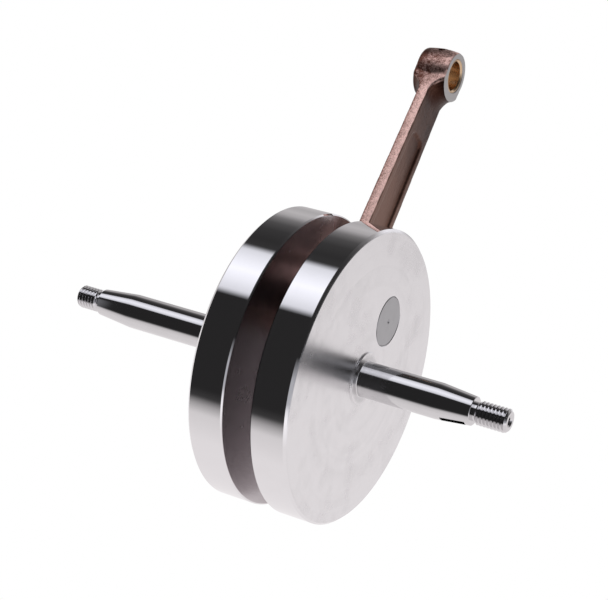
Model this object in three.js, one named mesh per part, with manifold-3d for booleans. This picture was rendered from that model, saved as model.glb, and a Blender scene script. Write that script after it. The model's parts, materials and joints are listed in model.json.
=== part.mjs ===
// Built-up crankshaft of a small two-stroke single, with its connecting rod.
// Millimetres. +X runs along the crank axis to the short shaft, +Z runs from the crank axis to the
// crankpin, and the origin is on the crank axis midway between the two webs.
import * as THREE from "three";
import { mergeVertices } from "three/addons/utils/BufferGeometryUtils.js";
import Module from "manifold-3d";

const wasm = await Module();
wasm.setup();

// ---- Driving dimensions ----------------------------------------------------------------------

// Webs
const webDiameter = 100;
const webThickness = 13;
const webGap = 10.2;
const webOuterChamfer = 1;
const webInnerChamfer = 0.5;
const bossDiameter = 18;
const bossHeight = 0.5;

// Main shafts: the places are distances from the origin along the shaft, and a key's turn is in
// degrees from -Z towards +Y
const shaftDiameter = 12;
const taperPerLength = 0.2;
const threadDiameter = 8;
const threadNeckDiameter = 6.4;
const threadNeckLength = 1.2;
const threadChamfer = 0.8;
const rightShaft = { taperStart: 46, taperLength: 12.2, threadLength: 11, keyCentre: 52.6, keyTurn: 4 };
const leftShaft = { taperStart: 73, taperLength: 13.5, threadLength: 8.4, keyCentre: 80.6, keyTurn: 28 };
const keyWidth = 3;
const keyCutterDiameter = 10;
const keyDepth = 2.6;
const centreHoleDiameter = 2.8;
const centreHoleDepth = 4;
const centreHoleSink = 0.6;

// Crankpin and its roller bearing
const crankThrow = 21.5;
const crankpinDiameter = 17;
const crankpinChamfer = 0.4;
const pressGap = 0.3;
const needleDiameter = 3;
const needleCount = 14;
const rollerClearance = 0.03;
const cageEndWall = 0.9;
const cageEndPlay = 0.1;
const cageRadialPlay = 0.35;
const pocketPlay = 0.08;

// Thrust washers
const washerThickness = 0.5;
const washerWidth = 5.5;
const washerBorePlay = 0.1;
const endPlay = 0.05;

// Connecting rod: heights are measured along the rod from the crankpin axis
const rodLength = 93;
const rodLean = THREE.MathUtils.degToRad(3);
const bigEndWall = 3.5;
const shankThickness = 3.8;
const shankFootWidth = 20;
const shankTopWidth = 15.4;
const shankFillet = 5;
const flareRadius = 5;
const flareLip = 0.1;
const recessDepth = 0.9;
const recessBorder = 3.6;
const recessFootGap = 5;
const recessTopGap = 18;
const recessDraft = 0.5;

// Small end
const wristPinDiameter = 10;
const wristPinPlay = 0.01;
const bushWall = 0.8;
const smallEndWall = 2.35;
const smallEndWidth = 12;
const smallEndChamfer = 0.6;
const smallEndCrown = 0.55;
const bushInset = 0.2;
const bushChamfer = 0.25;
const oilHoleDiameter = 2.4;
const oilHoleAngle = THREE.MathUtils.degToRad(45);

// Facets round each kind of turned piece
const webFacets = 96;
const shaftFacets = 40;
const bearingFacets = 84;
const smallEndFacets = 64;
const needleFacets = 12;

// ---- Sizes that follow -----------------------------------------------------------------------

const webInner = webGap / 2;
const webOuter = webInner + webThickness;
const crankpinRadius = crankpinDiameter / 2;
const needlePitch = crankpinRadius + rollerClearance + needleDiameter / 2;
const rodBore = needlePitch + needleDiameter / 2 + rollerClearance;
const bigEndRadius = rodBore + bigEndWall;
const washerPlace = webInner - endPlay - washerThickness / 2;
const bigEndHalfWidth = washerPlace - washerThickness / 2 - endPlay;
const cageHalfWidth = bigEndHalfWidth - cageEndPlay;
const needleLength = 2 * (cageHalfWidth - cageEndWall - pocketPlay);
const bushBore = wristPinDiameter / 2 + wristPinPlay;
const bushRadius = bushBore + bushWall;
const bushSeat = bushRadius + pressGap;
const smallEndRadius = bushRadius + smallEndWall;
const smallEndHalf = smallEndWidth / 2;
const shankHalf = shankThickness / 2;

// ---- Making and joining solids ---------------------------------------------------------------

const axisX = new THREE.Vector3(1, 0, 0);
const axisY = new THREE.Vector3(0, 1, 0);
const axisZ = new THREE.Vector3(0, 0, 1);

// A closed three.js geometry as a manifold-3d solid.
function solid(geometry) {
  const bare = geometry.clone();
  bare.deleteAttribute("normal");
  bare.deleteAttribute("uv");
  const merged = mergeVertices(bare, 1e-4);
  const mesh = new wasm.Mesh({
    numProp: 3,
    vertProperties: merged.attributes.position.array,
    triVerts: new Uint32Array(merged.index.array),
  });
  return new wasm.Manifold(mesh);
}

// A manifold-3d solid as a three.js geometry.
function geometryOf(body) {
  const mesh = body.getMesh();
  const geometry = new THREE.BufferGeometry();
  geometry.setAttribute("position", new THREE.BufferAttribute(mesh.vertProperties, 3));
  geometry.setIndex(new THREE.BufferAttribute(mesh.triVerts, 1));
  const flat = geometry.toNonIndexed();
  flat.computeVertexNormals();
  return flat;
}

// A body turned about the X axis; each profile point is [place along X, radius].
function turned(profile, facets) {
  const points = profile.map(([x, radius]) => new THREE.Vector2(radius, x));
  const lathe = new THREE.LatheGeometry(points, facets);
  return solid(lathe.rotateZ(-Math.PI / 2));
}

// A ring or disc about the X axis with chamfered edges and, on a forging, a crown at mid width.
function ring(halfWidth, inner, outer, chamfer, facets, crown = 0) {
  return turned(
    [
      [-halfWidth, inner],
      [-halfWidth, outer - chamfer],
      [-halfWidth + chamfer, outer],
      ...(crown > 0 ? [[0, outer + crown]] : []),
      [halfWidth - chamfer, outer],
      [halfWidth, outer - chamfer],
      [halfWidth, inner],
      [-halfWidth, inner],
    ],
    facets,
  );
}

function disc(halfWidth, radius, facets) {
  return turned([[-halfWidth, 0], [-halfWidth, radius], [halfWidth, radius], [halfWidth, 0]], facets);
}

// A flat outline pushed out by half the depth to each side of the plane of the two axes.
function slab(shape, depth, across, up, curveSegments = 8) {
  const geometry = new THREE.ExtrudeGeometry(shape, { depth, bevelEnabled: false, curveSegments });
  const out = new THREE.Vector3().crossVectors(across, up);
  geometry.translate(0, 0, -depth / 2);
  geometry.applyMatrix4(new THREE.Matrix4().makeBasis(across, up, out));
  return solid(geometry);
}

// ---- Crank halves ----------------------------------------------------------------------------

// One web with its boss, main shaft, taper and threaded end, turned along +X.
function crankBlank(shaft) {
  const shaftRadius = shaftDiameter / 2;
  const bossRadius = bossDiameter / 2;
  const bossFace = webOuter + bossHeight;
  const taperEnd = shaft.taperStart + shaft.taperLength;
  const taperEndRadius = shaftRadius - (shaft.taperLength * taperPerLength) / 2;
  const threadStart = taperEnd + threadNeckLength;
  const shaftEnd = threadStart + shaft.threadLength;
  const threadRadius = threadDiameter / 2;
  const neckRadius = threadNeckDiameter / 2;
  const web = turned(
    [
      [webInner, 0],
      [webInner, webDiameter / 2 - webInnerChamfer],
      [webInner + webInnerChamfer, webDiameter / 2],
      [webOuter - webOuterChamfer, webDiameter / 2],
      [webOuter, webDiameter / 2 - webOuterChamfer],
      [webOuter, 0],
    ],
    webFacets,
  );
  const journal = turned(
    [
      [webInner + webThickness / 2, 0],
      [webInner + webThickness / 2, bossRadius],
      [bossFace, bossRadius],
      [bossFace, shaftRadius],
      [shaft.taperStart, shaftRadius],
      [taperEnd, taperEndRadius],
      [taperEnd, neckRadius],
      [threadStart, neckRadius],
      [threadStart, threadRadius],
      [shaftEnd - threadChamfer, threadRadius],
      [shaftEnd, threadRadius - threadChamfer],
      [shaftEnd, centreHoleDiameter / 2 + centreHoleSink],
      [shaftEnd - centreHoleSink, centreHoleDiameter / 2],
      [shaftEnd - centreHoleDepth, centreHoleDiameter / 2],
      [shaftEnd - centreHoleDepth - centreHoleDiameter / 2, 0],
    ],
    shaftFacets,
  );
  return web.add(journal);
}

// The round-bottomed slot for a half-moon key in the taper.
function keySlot(shaft) {
  const taperedBy = ((shaft.keyCentre - shaft.taperStart) * taperPerLength) / 2;
  const surface = shaftDiameter / 2 - Math.max(0, taperedBy);
  const cutter = keyCutterDiameter / 2;
  const outline = new THREE.Shape();
  outline.absarc(shaft.keyCentre, -surface + keyDepth - cutter, cutter, 0, 2 * Math.PI);
  return slab(outline, keyWidth, axisX, axisZ, 16).rotate([shaft.keyTurn, 0, 0]);
}

function crankHalf(shaft) {
  const bore = disc(webOuter + 1, crankpinRadius + pressGap, bearingFacets).translate([0, 0, crankThrow]);
  return crankBlank(shaft).subtract(bore).subtract(keySlot(shaft));
}

function crankpin() {
  return ring(webOuter, 0, crankpinRadius, crankpinChamfer, bearingFacets);
}

// ---- Big-end bearing -------------------------------------------------------------------------

function needle() {
  return disc(needleLength / 2, needleDiameter / 2, needleFacets);
}

// The places of the needles round the crankpin, as angles from +Z.
const needleAngles = Array.from({ length: needleCount }, (_, i) => (i * 2 * Math.PI) / needleCount);

function cage() {
  let body = ring(
    cageHalfWidth,
    crankpinRadius + cageRadialPlay,
    rodBore - cageRadialPlay,
    0,
    bearingFacets,
  );
  const pocketWidth = needleDiameter + 2 * pocketPlay;
  const pocketLength = needleLength + 2 * pocketPlay;
  for (const angle of needleAngles) {
    const pocket = new THREE.BoxGeometry(pocketLength, pocketWidth, needleDiameter * 2);
    pocket.translate(0, 0, needlePitch);
    pocket.rotateX(-angle);
    body = body.subtract(solid(pocket));
  }
  return body;
}

function thrustWasher() {
  const bore = crankpinRadius + washerBorePlay;
  return ring(washerThickness / 2, bore, bore + washerWidth, 0, bearingFacets);
}

// ---- Connecting rod, upright along +Z with the crankpin axis at its origin ---------------------

// Centre and touching points of a fillet between a round end and the straight side of the shank.
function sideFillet(endHeight, endRadius, side, towards) {
  const reach = side.offset + shankFillet - side.normal.dot(new THREE.Vector2(0, endHeight));
  const run = towards * Math.sqrt((endRadius + shankFillet) ** 2 - reach ** 2);
  const centre = new THREE.Vector2(0, endHeight)
    .addScaledVector(side.normal, reach)
    .addScaledVector(side.along, run);
  const fromEnd = Math.atan2(endHeight - centre.y, -centre.x);
  const toSide = Math.atan2(-side.normal.y, -side.normal.x);
  return { centre, fromEnd, toSide };
}

// The straight side of the shank, moved in by a border.
function shankSide(border) {
  const foot = new THREE.Vector2(shankFootWidth / 2, bigEndRadius);
  const top = new THREE.Vector2(shankTopWidth / 2, rodLength - smallEndRadius);
  const along = top.clone().sub(foot).normalize();
  const normal = new THREE.Vector2(along.y, -along.x);
  const offset = normal.dot(foot) - border;
  return { along, normal, offset, at: (height) => (offset - normal.y * height) / normal.x };
}

// Points of an arc between two angles, the short way round.
function arcPoints(centre, radius, from, to, steps) {
  const turn = Math.atan2(Math.sin(to - from), Math.cos(to - from));
  return Array.from({ length: steps + 1 }, (_, i) => {
    const angle = from + (turn * i) / steps;
    return new THREE.Vector2(centre.x + radius * Math.cos(angle), centre.y + radius * Math.sin(angle));
  });
}

const mirrored = (points) => points.map((p) => new THREE.Vector2(-p.x, p.y)).reverse();

// The shank seen along the crank axis: straight tapering sides with a fillet into each round end.
function shankOutline() {
  const side = shankSide(0);
  const low = sideFillet(0, bigEndRadius, side, 1);
  const high = sideFillet(rodLength, smallEndRadius, side, -1);
  const right = [
    ...arcPoints(low.centre, shankFillet, low.fromEnd, low.toSide, 6),
    ...arcPoints(high.centre, shankFillet, high.toSide, high.fromEnd, 4),
  ];
  return new THREE.Shape([...right, ...mirrored(right)]);
}

// A disc about the X axis that is thickest at its middle: it flares down from a round end of the
// rod to the thin shank, with a hollow curve on each side.
function flaredDisc(halfWidth, radius) {
  const rise = Math.min(halfWidth - shankHalf, flareRadius);
  const sweep = Math.acos(1 - rise / flareRadius);
  const steps = 6;
  const curve = Array.from({ length: steps + 1 }, (_, i) => {
    const angle = (sweep * i) / steps;
    const run = flareRadius * (Math.sin(sweep) - Math.sin(angle));
    return [shankHalf + flareRadius * (1 - Math.cos(angle)), radius + run];
  });
  const left = curve.map(([x, r]) => [-x, r]).reverse();
  return turned([[-halfWidth, 0], ...left, ...curve, [halfWidth, 0]], smallEndFacets);
}

// A shallow panel sunk in one face of the shank.
function recess(face) {
  const floorHalf = shankHalf - recessDepth;
  const low = bigEndRadius + recessFootGap;
  const high = rodLength - smallEndRadius - recessTopGap;
  const side = shankSide(recessBorder);
  const lowWidth = side.at(low);
  const highWidth = side.at(high);
  const corners = (grow) => [
    [-lowWidth - grow, low - grow],
    [lowWidth + grow, low - grow],
    [highWidth + grow, high + grow],
    [-highWidth - grow, high + grow],
  ];
  const positions = [];
  const above = recessDraft + 1;
  const loops = [
    [floorHalf, corners(0)],
    [shankHalf + 1, corners(above)],
  ];
  for (const [x, loop] of loops) {
    for (const [y, z] of loop) positions.push(face * x, y, z);
  }
  const quads = [[0, 3, 2, 1], [4, 5, 6, 7]];
  for (let i = 0; i < 4; i++) quads.push([i, (i + 1) % 4, 4 + ((i + 1) % 4), 4 + i]);
  const index = quads.flatMap(([a, b, c, d]) => (face > 0 ? [a, b, c, a, c, d] : [a, c, b, a, d, c]));
  const geometry = new THREE.BufferGeometry();
  geometry.setAttribute("position", new THREE.Float32BufferAttribute(positions, 3));
  geometry.setIndex(index);
  return solid(geometry);
}

// Two oil holes drilled from above through the small end, one each side of the rod.
function oilHole(side, inner, outer) {
  const length = outer - inner;
  const hole = new THREE.CylinderGeometry(oilHoleDiameter / 2, oilHoleDiameter / 2, length, 16);
  hole.rotateX(Math.PI / 2);
  hole.translate(0, 0, (inner + outer) / 2);
  hole.rotateX(side * oilHoleAngle);
  return solid(hole);
}

function drillOil(body) {
  let drilled = body;
  for (const side of [-1, 1]) {
    drilled = drilled.subtract(oilHole(side, bushBore / 2, smallEndRadius + smallEndCrown + 1));
  }
  return drilled;
}

function connectingRod() {
  const upSmall = (body) => body.translate([0, 0, rodLength]);
  const outline = shankOutline();
  const shank = slab(outline, shankThickness, axisY, axisZ);
  const ends = flaredDisc(bigEndHalfWidth, bigEndRadius).add(
    upSmall(flaredDisc(smallEndHalf, smallEndRadius + flareLip)),
  );
  const flares = slab(outline, smallEndWidth, axisY, axisZ).intersect(ends);
  const bigEnd = ring(bigEndHalfWidth, 0, bigEndRadius, webInnerChamfer, bearingFacets);
  const smallEnd = ring(
    smallEndHalf,
    0,
    smallEndRadius,
    smallEndChamfer,
    smallEndFacets,
    smallEndCrown,
  );
  const bigBore = disc(smallEndWidth, rodBore, bearingFacets);
  const smallBore = disc(smallEndWidth, bushSeat, smallEndFacets);
  return shank
    .add(flares)
    .add(bigEnd)
    .add(upSmall(drillOil(smallEnd)))
    .subtract(bigBore)
    .subtract(upSmall(smallBore))
    .subtract(recess(1))
    .subtract(recess(-1));
}

function smallEndBush() {
  const half = smallEndHalf - bushInset;
  const body = turned(
    [
      [-half, bushBore + bushChamfer],
      [-half, bushRadius],
      [half, bushRadius],
      [half, bushBore + bushChamfer],
      [half - bushChamfer, bushBore],
      [-half + bushChamfer, bushBore],
      [-half, bushBore + bushChamfer],
    ],
    smallEndFacets,
  );
  return drillOil(body).translate([0, 0, rodLength]);
}

// ---- The assembly ----------------------------------------------------------------------------

const finishes = {
  turnedSteel: { color: 0xc9cacd, roughness: 0.28, metalness: 1 },
  groundSteel: { color: 0x9a9b9e, roughness: 0.3, metalness: 1 },
  bearingSteel: { color: 0xb4b6ba, roughness: 0.2, metalness: 1 },
  copperedSteel: { color: 0x9a6a58, roughness: 0.5, metalness: 0.9 },
  bronze: { color: 0xb98a4a, roughness: 0.32, metalness: 1 },
};

function piece(name, body, finish) {
  const mesh = new THREE.Mesh(geometryOf(body), new THREE.MeshStandardMaterial(finishes[finish]));
  mesh.name = name;
  return mesh;
}

const crankshaft = new THREE.Group();
crankshaft.add(piece("right_crank_half", crankHalf(rightShaft), "turnedSteel"));
crankshaft.add(piece("left_crank_half", crankHalf(leftShaft).mirror([1, 0, 0]), "turnedSteel"));

const bigEndGroup = new THREE.Group();
bigEndGroup.position.z = crankThrow;
bigEndGroup.add(piece("crankpin", crankpin(), "groundSteel"));
bigEndGroup.add(piece("big_end_cage", cage(), "bronze"));
needleAngles.forEach((angle, i) => {
  const mesh = piece(`big_end_needle_${String(i + 1).padStart(2, "0")}`, needle(), "bearingSteel");
  mesh.position.set(0, needlePitch * Math.sin(angle), needlePitch * Math.cos(angle));
  bigEndGroup.add(mesh);
});
for (const [name, place] of [["left_thrust_washer", -washerPlace], ["right_thrust_washer", washerPlace]]) {
  const mesh = piece(name, thrustWasher(), "bearingSteel");
  mesh.position.x = place;
  bigEndGroup.add(mesh);
}

const rodGroup = new THREE.Group();
rodGroup.rotation.x = rodLean;
rodGroup.add(piece("connecting_rod", connectingRod(), "copperedSteel"));
rodGroup.add(piece("small_end_bush", smallEndBush(), "bronze"));
bigEndGroup.add(rodGroup);
crankshaft.add(bigEndGroup);

export default crankshaft;
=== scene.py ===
"""Built-up crankshaft of a small two-stroke single, with its connecting rod, laid out as an add-on.

Sizes are in metres and written in millimetres times MM. +X runs along the crank axis to the short
shaft, +Z from the crank axis to the crankpin, and the origin is midway between the two webs."""

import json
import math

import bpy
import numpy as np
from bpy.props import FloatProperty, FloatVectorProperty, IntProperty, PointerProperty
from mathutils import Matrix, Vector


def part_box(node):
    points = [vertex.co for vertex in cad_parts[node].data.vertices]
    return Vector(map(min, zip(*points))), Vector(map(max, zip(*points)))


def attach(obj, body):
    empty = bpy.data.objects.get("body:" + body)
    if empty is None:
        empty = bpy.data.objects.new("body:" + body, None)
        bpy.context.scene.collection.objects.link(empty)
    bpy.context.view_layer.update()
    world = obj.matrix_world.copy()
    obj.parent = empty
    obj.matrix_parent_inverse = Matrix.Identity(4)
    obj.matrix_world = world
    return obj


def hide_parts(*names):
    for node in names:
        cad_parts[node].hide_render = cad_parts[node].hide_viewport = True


bl_info = {
    "name": "Built-up Crankshaft",
    "version": (1, 0, 0),
    "blender": (4, 5, 0),
    "location": "3D Viewport > Sidebar > Crankshaft",
    "description": "Models a pressed-up crankshaft with its connecting rod and big-end bearing",
    "category": "Add Mesh",
}

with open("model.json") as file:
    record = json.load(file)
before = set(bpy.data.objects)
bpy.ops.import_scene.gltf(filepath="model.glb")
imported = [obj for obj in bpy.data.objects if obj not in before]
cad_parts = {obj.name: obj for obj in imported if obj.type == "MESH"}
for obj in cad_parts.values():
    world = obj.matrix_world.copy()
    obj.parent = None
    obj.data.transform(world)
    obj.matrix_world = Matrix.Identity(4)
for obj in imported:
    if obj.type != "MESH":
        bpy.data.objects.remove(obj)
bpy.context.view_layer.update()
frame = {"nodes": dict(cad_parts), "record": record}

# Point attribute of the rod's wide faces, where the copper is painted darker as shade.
WIDE_FACE_SHADE = "wide_face"
MM = 0.001
ROLLER_CLEARANCE = 0.03 * MM
CAGE_SIDE_PLAY = 0.1 * MM
CONE_TIP = 0.05 * MM
ROUND_SIDES = 144
RING_SIDES = 168
BLACK = (0.0, 0.0, 0.0)

# Shares of a thread's pitch: how deep its groove goes, and the radius of the cutter's triangle.
THREAD_DEPTH = 0.62
THREAD_CUTTER = 0.53


# ---- Sizes and places read from the frame -----------------------------------------------------

CRANK_LOW, CRANK_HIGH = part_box("right_crank_half")
LEFT_END = -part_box("left_crank_half")[0].x
PIN_LOW, PIN_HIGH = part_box("crankpin")
ROD_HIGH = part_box("connecting_rod")[1]
BUSH_LOW, BUSH_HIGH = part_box("small_end_bush")
CAGE_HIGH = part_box("big_end_cage")[1]
WASHER_LOW, WASHER_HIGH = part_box("right_thrust_washer")
NEEDLE_LOW, NEEDLE_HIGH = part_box("big_end_needle_01")
NEEDLES = sorted(name for name in frame["nodes"] if name.startswith("big_end_needle_"))

WEB_RADIUS = CRANK_HIGH.y
WEB_INNER = CRANK_LOW.x
WEB_OUTER = PIN_HIGH.x
RIGHT_END = CRANK_HIGH.x
PIN_CENTRE = (PIN_LOW + PIN_HIGH) / 2
PIN_RADIUS = (PIN_HIGH.z - PIN_LOW.z) / 2
SMALL_END = (BUSH_LOW + BUSH_HIGH) / 2
ROD_LENGTH = (SMALL_END - PIN_CENTRE).length
ROD_LEAN = math.atan2(PIN_CENTRE.y - SMALL_END.y, SMALL_END.z - PIN_CENTRE.z)
BIG_END_RADIUS = ROD_HIGH.y - PIN_CENTRE.y
SMALL_END_CROWN = ROD_HIGH.z - SMALL_END.z
SMALL_END_HALF = ROD_HIGH.x
BIG_END_HALF = CAGE_HIGH.x + CAGE_SIDE_PLAY
NEEDLE_RADIUS = (NEEDLE_HIGH.z - NEEDLE_LOW.z) / 2
NEEDLE_PITCH = (NEEDLE_HIGH.z + NEEDLE_LOW.z) / 2 - PIN_CENTRE.z
ROD_BORE = NEEDLE_PITCH + NEEDLE_RADIUS + ROLLER_CLEARANCE


# ---- What a user would change -------------------------------------------------------------------

def size(name, millimetres, description):
    """A length property, its default given in millimetres."""
    return FloatProperty(
        name=name, description=description, default=millimetres * MM, min=0.0, precision=5,
        subtype="DISTANCE", unit="LENGTH",
    )


def colour(name, value, description):
    return FloatVectorProperty(
        name=name, description=description, default=value, size=3, min=0.0, max=1.0, subtype="COLOR",
    )


def share(name, value, description):
    return FloatProperty(
        name=name, description=description, default=value, min=0.0, max=1.0, subtype="FACTOR",
    )


def in_degrees(name, degrees, description):
    return FloatProperty(
        name=name, description=description, default=math.radians(degrees), subtype="ANGLE",
    )


def brightness(name, value, description):
    return FloatProperty(name=name, description=description, default=value, min=0.0)


class CrankSizes(bpy.types.PropertyGroup):
    web_edge: size("Web outer chamfer", 1.0, "Chamfer on the outer edge of each web")
    web_inner_edge: size("Web inner chamfer", 0.5, "Chamfer on the edge of each web next to the rod")
    boss_radius: size("Boss radius", 9.0, "Radius of the low boss at the root of each shaft")
    boss_height: size("Boss height", 0.5, "How far the boss stands out from the web")
    shaft_radius: size("Shaft radius", 6.0, "Radius of the plain part of each shaft")
    root_fillet: size("Root fillet", 0.3, "Fillet where the shaft leaves the boss")
    taper: share("Taper", 0.1, "How much the radius falls for each unit of length along a taper")
    thread_radius: size("Thread radius", 4.0, "Outer radius of the threaded ends")
    thread_pitch: size("Thread pitch", 1.25, "Distance from one thread to the next")
    neck_radius: size("Neck radius", 3.2, "Radius of the groove between a taper and its thread")
    neck_length: size("Neck length", 1.2, "Length of that groove")
    thread_edge: size("Thread chamfer", 0.8, "Chamfer on the end of each thread")
    hole_radius: size("Centre hole radius", 1.4, "Radius of the centre hole in each shaft end")
    hole_depth: size("Centre hole depth", 4.0, "Depth of the centre hole before its cone")
    hole_sink: size("Centre hole sink", 0.6, "Width of the countersink round the centre hole")
    right_taper: size("Right taper start", 46.0, "Where the right taper starts, from the origin")
    right_taper_length: size("Right taper length", 12.2, "Length of the right taper")
    right_key: size("Right key place", 52.6, "Middle of the right key slot, from the origin")
    left_taper: size("Left taper start", 73.0, "Where the left taper starts, from the origin")
    left_taper_length: size("Left taper length", 13.5, "Length of the left taper")
    left_key: size("Left key place", 80.6, "Middle of the left key slot, from the origin")
    key_width: size("Key width", 3.0, "Width of both half-moon key slots")
    key_cutter: size("Key cutter radius", 5.0, "Radius of the cutter that makes the slots")
    key_depth: size("Key depth", 2.6, "Deepest point of each slot below the taper")
    right_key_turn: in_degrees("Right key turn", 4, "Turn of the right key slot about the crank axis")
    left_key_turn: in_degrees("Left key turn", 28, "Turn of the left key slot about the crank axis")
    pin_edge: size("Crankpin chamfer", 0.2, "Chamfer on the crankpin and on the bores it is pressed in")
    pin_fit: size("Crankpin fit", 0.02, "Gap drawn between the crankpin and its bores")
    web_sides: IntProperty(name="Sides", description="Sides of the turned pieces", default=192, min=48)


class RodSizes(bpy.types.PropertyGroup):
    shank_half: size("Half shank", 1.9, "Half the thickness of the shank")
    foot_width: size("Foot width", 20.0, "Width of the shank where it leaves the big end")
    top_width: size("Top width", 15.4, "Width of the shank where it meets the small end")
    side_fillet: size("Side fillet", 5.0, "Fillet between the sides of the shank and each round end")
    flare_radius: size("Flare radius", 5.0, "Hollow curve by which the ends thicken")
    small_end_wall: size("Small-end radius", 8.16, "Radius of the small end at its edges")
    small_end_edge: size("Small-end chamfer", 0.6, "Forged chamfer on the edges of the small end")
    small_end_lip: size("Small-end lip", 0.9, "How far the machined face runs out over the flare")
    stock: size("Machining stock", 0.5, "What the machining takes off each forged end face")
    recess_depth: size("Recess depth", 0.9, "Depth of the panel sunk in each side of the shank")
    recess_border: size("Recess border", 3.6, "Width of the flange on each side of the recess")
    recess_foot: size("Recess foot", 5.0, "From the big end to the start of the recess")
    recess_top: size("Recess top", 18.0, "From the end of the recess to the small end")
    recess_draft: size("Recess draft", 1.5, "How far the recess walls lean out")
    bore_edge: size("Bore chamfer", 0.25, "Chamfer on the bores of the rod")
    bush_edge: size("Bush chamfer", 0.5, "Chamfer on the bore of the bush")
    bush_bore: size("Bush bore radius", 5.01, "Radius of the wrist pin bore")
    bush_wall: size("Bush wall", 0.95, "Wall of the bush")
    oil_radius: size("Oil hole radius", 1.2, "Radius of the two oil holes in the small end")
    grain: size("Forging grain", 0.3, "Cell size of the forged surface, which sets how round it is")


class BearingSizes(bpy.types.PropertyGroup):
    cage_gap: size("Cage gap", 0.35, "Gap between the cage and the pin and bore")
    pocket_play: size("Pocket play", 0.08, "Play of each needle in its pocket")
    washer_edge: size("Washer edge", 0.1, "Chamfer on the edges of the thrust washers")
    washer_bore: size("Washer bore play", 0.1, "Play of the thrust washers on the crankpin")


class Finishes(bpy.types.PropertyGroup):
    turned: colour("Turned steel", (0.80, 0.79, 0.80), "Webs and shafts")
    # A pinker, shaded copy of the turned steel for the inner faces of the webs: painted shade in the gap
    # between the webs.
    inner: colour("Inner faces", (0.80, 0.745, 0.765), "Faces of the webs next to the rod")
    pin: colour("Crankpin steel", (0.42, 0.42, 0.43), "Ground end of the crankpin")
    bearing: colour("Bearing steel", (0.66, 0.67, 0.69), "Needles and thrust washers")
    copper: colour("Copper plate", (0.93, 0.62, 0.54), "Bright copper round the sides of the rod")
    # The dark end of the copper on the sides and the small end: real tarnish from the noise, and painted
    # shade from the gradients in coppered_steel.
    copper_tarnish_and_shade: colour("Brown copper", (0.17, 0.070, 0.050), "Worn and tarnished patches of that copper")
    # The wide faces of the rod: darker copies of the copper, painted shade by which way they face, darkest
    # towards the small end, with stains.
    copper_panel_shade: colour("Panel copper", (0.215, 0.120, 0.090), "Wide faces of the shank near the big end")
    copper_dark_shade: colour("Dark copper", (0.040, 0.015, 0.010), "Wide faces where they are stained")
    machined: colour("Machined steel", (0.47, 0.46, 0.455), "Bare end faces of the rod")
    bronze: colour("Bronze", (0.74, 0.53, 0.34), "Small-end bush")
    cage: colour("Cage bronze", (0.55, 0.42, 0.25), "Big-end cage")
    face_roughness: share("Web face roughness", 0.25, "Roughness of the turned web faces")
    rim_roughness: share("Rim roughness", 0.035, "Roughness of the polished rims and shafts")


class Studio(bpy.types.PropertyGroup):
    softbox: brightness("Softbox", 1.3, "Brightness of the softbox over the crank")
    table: brightness("Table", 0.91, "Brightness of the white table and backdrop")
    floor_glow: share("Floor glow", 0.55, "Even brightness added to the floor")
    fill: brightness("Fill", 0.5, "Brightness of the soft lights that only the other sides see")
    floor_drop: size("Floor drop", 200.0, "How far the floor lies below the crank axis")


# ---- Modelling steps ----------------------------------------------------------------------------

def make_active(piece):
    """Selects one object alone."""
    bpy.ops.object.select_all(action="DESELECT")
    piece.select_set(True)
    bpy.context.view_layer.objects.active = piece


def settle(piece):
    """Moves an object's place and turn into its mesh."""
    make_active(piece)
    bpy.ops.object.transform_apply(location=True, rotation=True, scale=True)
    return piece


def new_piece(name):
    """Names the primitive that was just added and settles it."""
    piece = bpy.context.object
    piece.name = name
    return settle(piece)


def edit(piece):
    make_active(piece)
    bpy.ops.object.mode_set(mode="EDIT")
    bpy.ops.mesh.select_all(action="SELECT")


def close_edit(merge=False):
    """Leaves edit mode with the faces pointing out."""
    bpy.ops.mesh.select_all(action="SELECT")
    if merge:
        bpy.ops.mesh.remove_doubles(threshold=0.001 * MM)
    bpy.ops.mesh.normals_make_consistent(inside=False)
    bpy.ops.object.mode_set(mode="OBJECT")


def select_where(piece, kind, wanted):
    """In edit mode, selects only the vertices, edges or faces that pass a test."""
    bpy.ops.mesh.select_all(action="DESELECT")
    modes = {"vertices": "VERT", "edges": "EDGE", "polygons": "FACE"}
    bpy.ops.mesh.select_mode(type=modes[kind])
    bpy.ops.object.mode_set(mode="OBJECT")
    for item in getattr(piece.data, kind):
        item.select = wanted(item)
    bpy.ops.object.mode_set(mode="EDIT")


def mirrored(right):
    """The right half of a profile with its mirror image before it."""
    return [(-place, radius) for place, radius in reversed(right)] + right


def ring_of(right):
    """A closed ring profile from its right half, which starts at the bore."""
    left = [(-place, radius) for place, radius in reversed(right)]
    return right + left + right[:1]


def lathe(name, profile, sides, ring=False):
    """Turns a profile of (place along X, radius) about the X axis, by extruding a circle step by step.

    A ring's profile ends where it starts, and leaves a bore."""
    place, radius = profile[0]
    bpy.ops.object.select_all(action="DESELECT")
    bpy.ops.mesh.primitive_circle_add(
        vertices=sides, radius=radius, fill_type="NOTHING" if ring else "NGON",
        location=(place, 0, 0), rotation=(0, math.pi / 2, 0),
    )
    piece = new_piece(name)
    edit(piece)
    for next_place, next_radius in profile[1:]:
        bpy.ops.mesh.extrude_region_move(TRANSFORM_OT_translate={"value": (next_place - place, 0, 0)})
        ratio = next_radius / radius
        bpy.ops.transform.resize(value=(1, ratio, ratio), center_override=(next_place, 0, 0))
        place, radius = next_place, next_radius
    close_edit(merge=ring)
    return piece


def plate(name, outline, half):
    """A flat plate square to X, from an outline of (Y, Z) points."""
    bpy.ops.object.select_all(action="DESELECT")
    bpy.ops.mesh.primitive_circle_add(vertices=len(outline), radius=1 * MM, fill_type="NGON")
    piece = new_piece(name)
    for vertex, (across, up) in zip(piece.data.vertices, outline):
        vertex.co = (-half, across, up)
    edit(piece)
    bpy.ops.mesh.extrude_region_move(TRANSFORM_OT_translate={"value": (2 * half, 0, 0)})
    close_edit()
    return piece


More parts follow.
